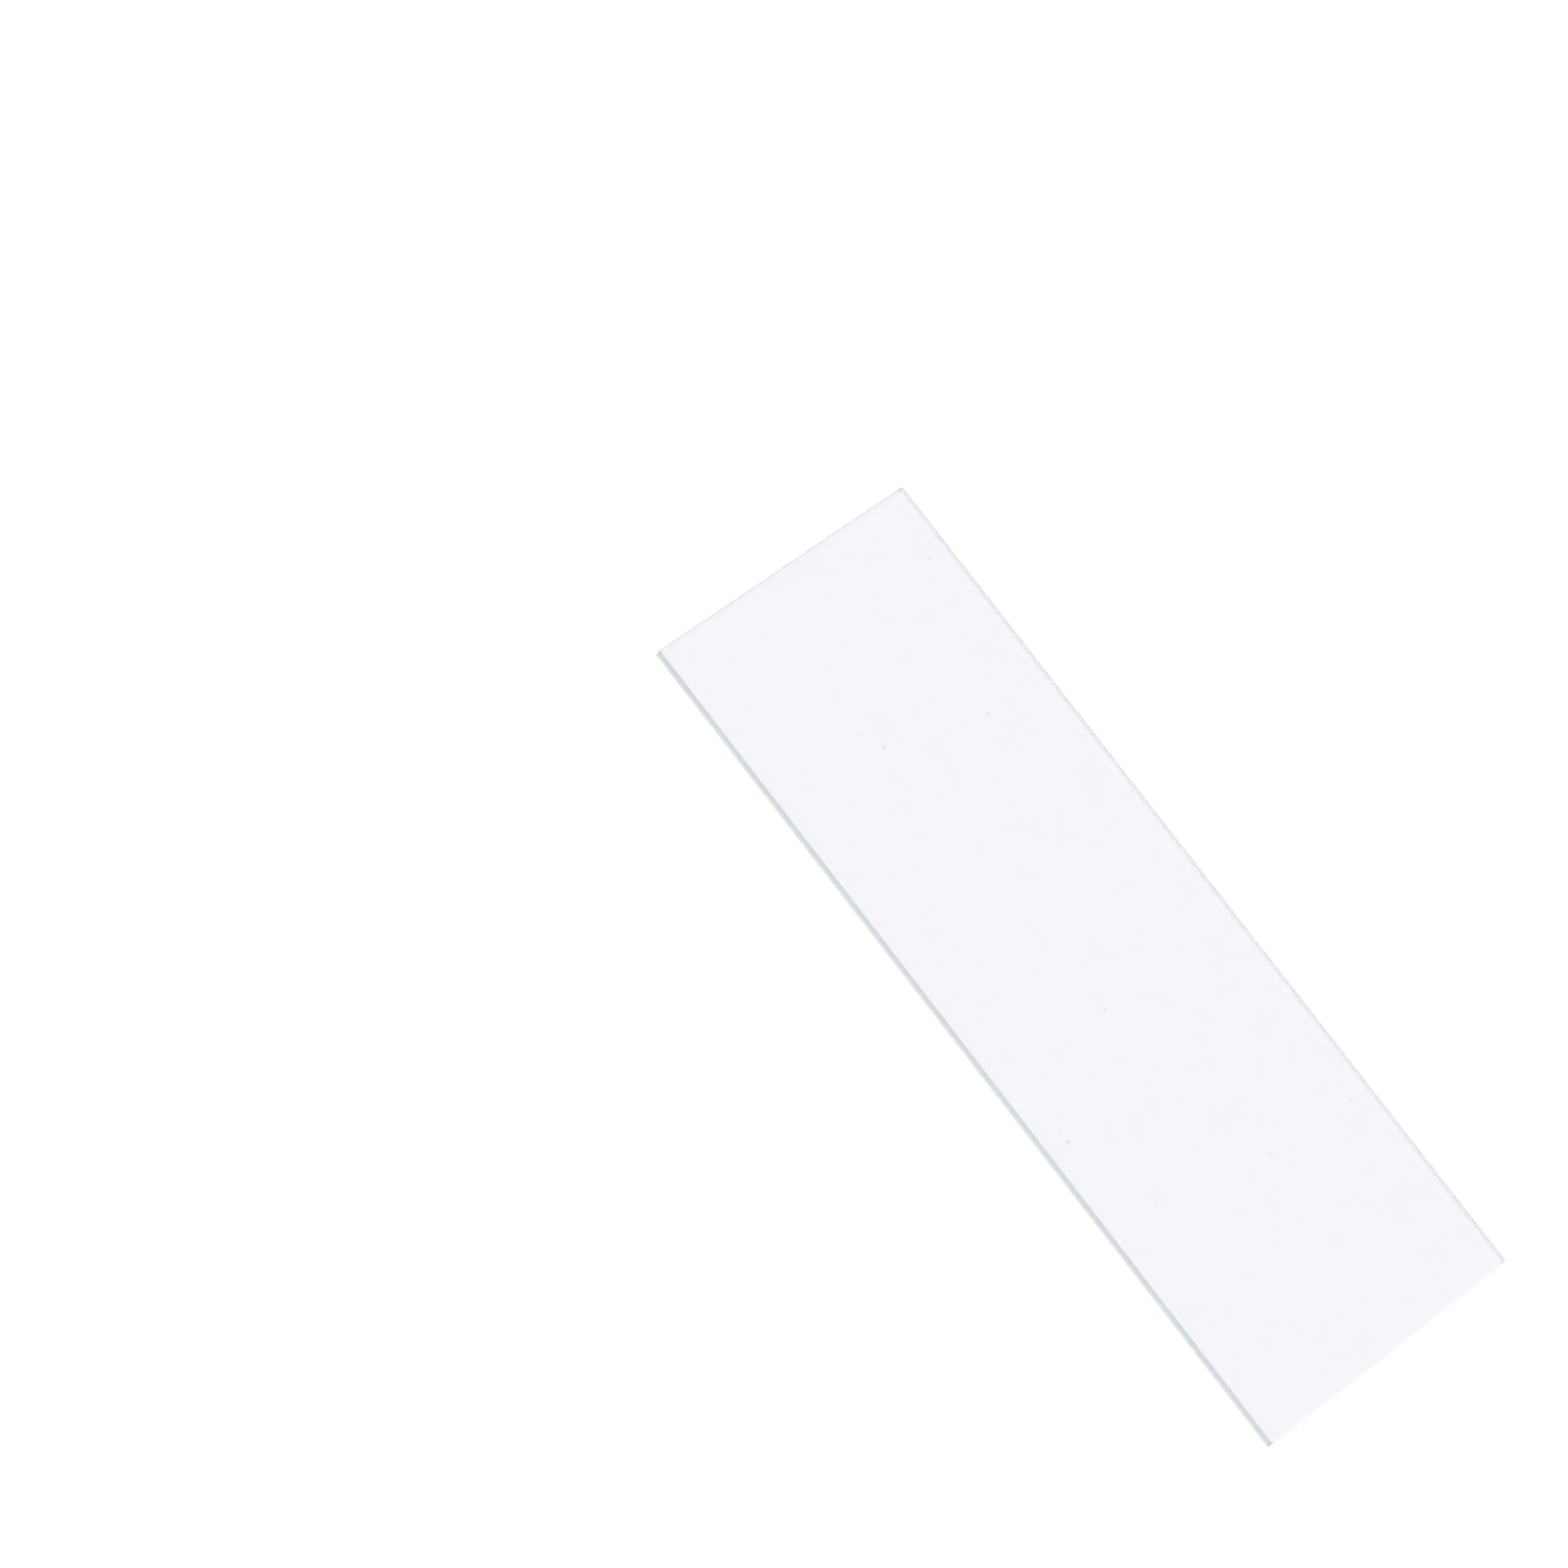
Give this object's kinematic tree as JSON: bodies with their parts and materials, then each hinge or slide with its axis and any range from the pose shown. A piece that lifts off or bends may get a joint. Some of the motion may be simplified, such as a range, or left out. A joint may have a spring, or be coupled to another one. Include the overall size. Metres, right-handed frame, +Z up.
{
  "type": "microscope slide",
  "caption": "Plain clear glass microscope slide: a thin flat rectangular plate with seamed edges and eased corners.",
  "frame": {"origin": "middle of the lower face, which the slide lies on", "axes": "+X along the slide's length, +Y across its width, +Z up through the glass; the part is the same either way round"},
  "size_m": [0.0762, 0.0254, 0.001],
  "materials": {
    "clear_glass": "polished"
  },
  "bodies": {
    "root": {"glass_slide": "clear_glass"}
  },
  "joints": []
}
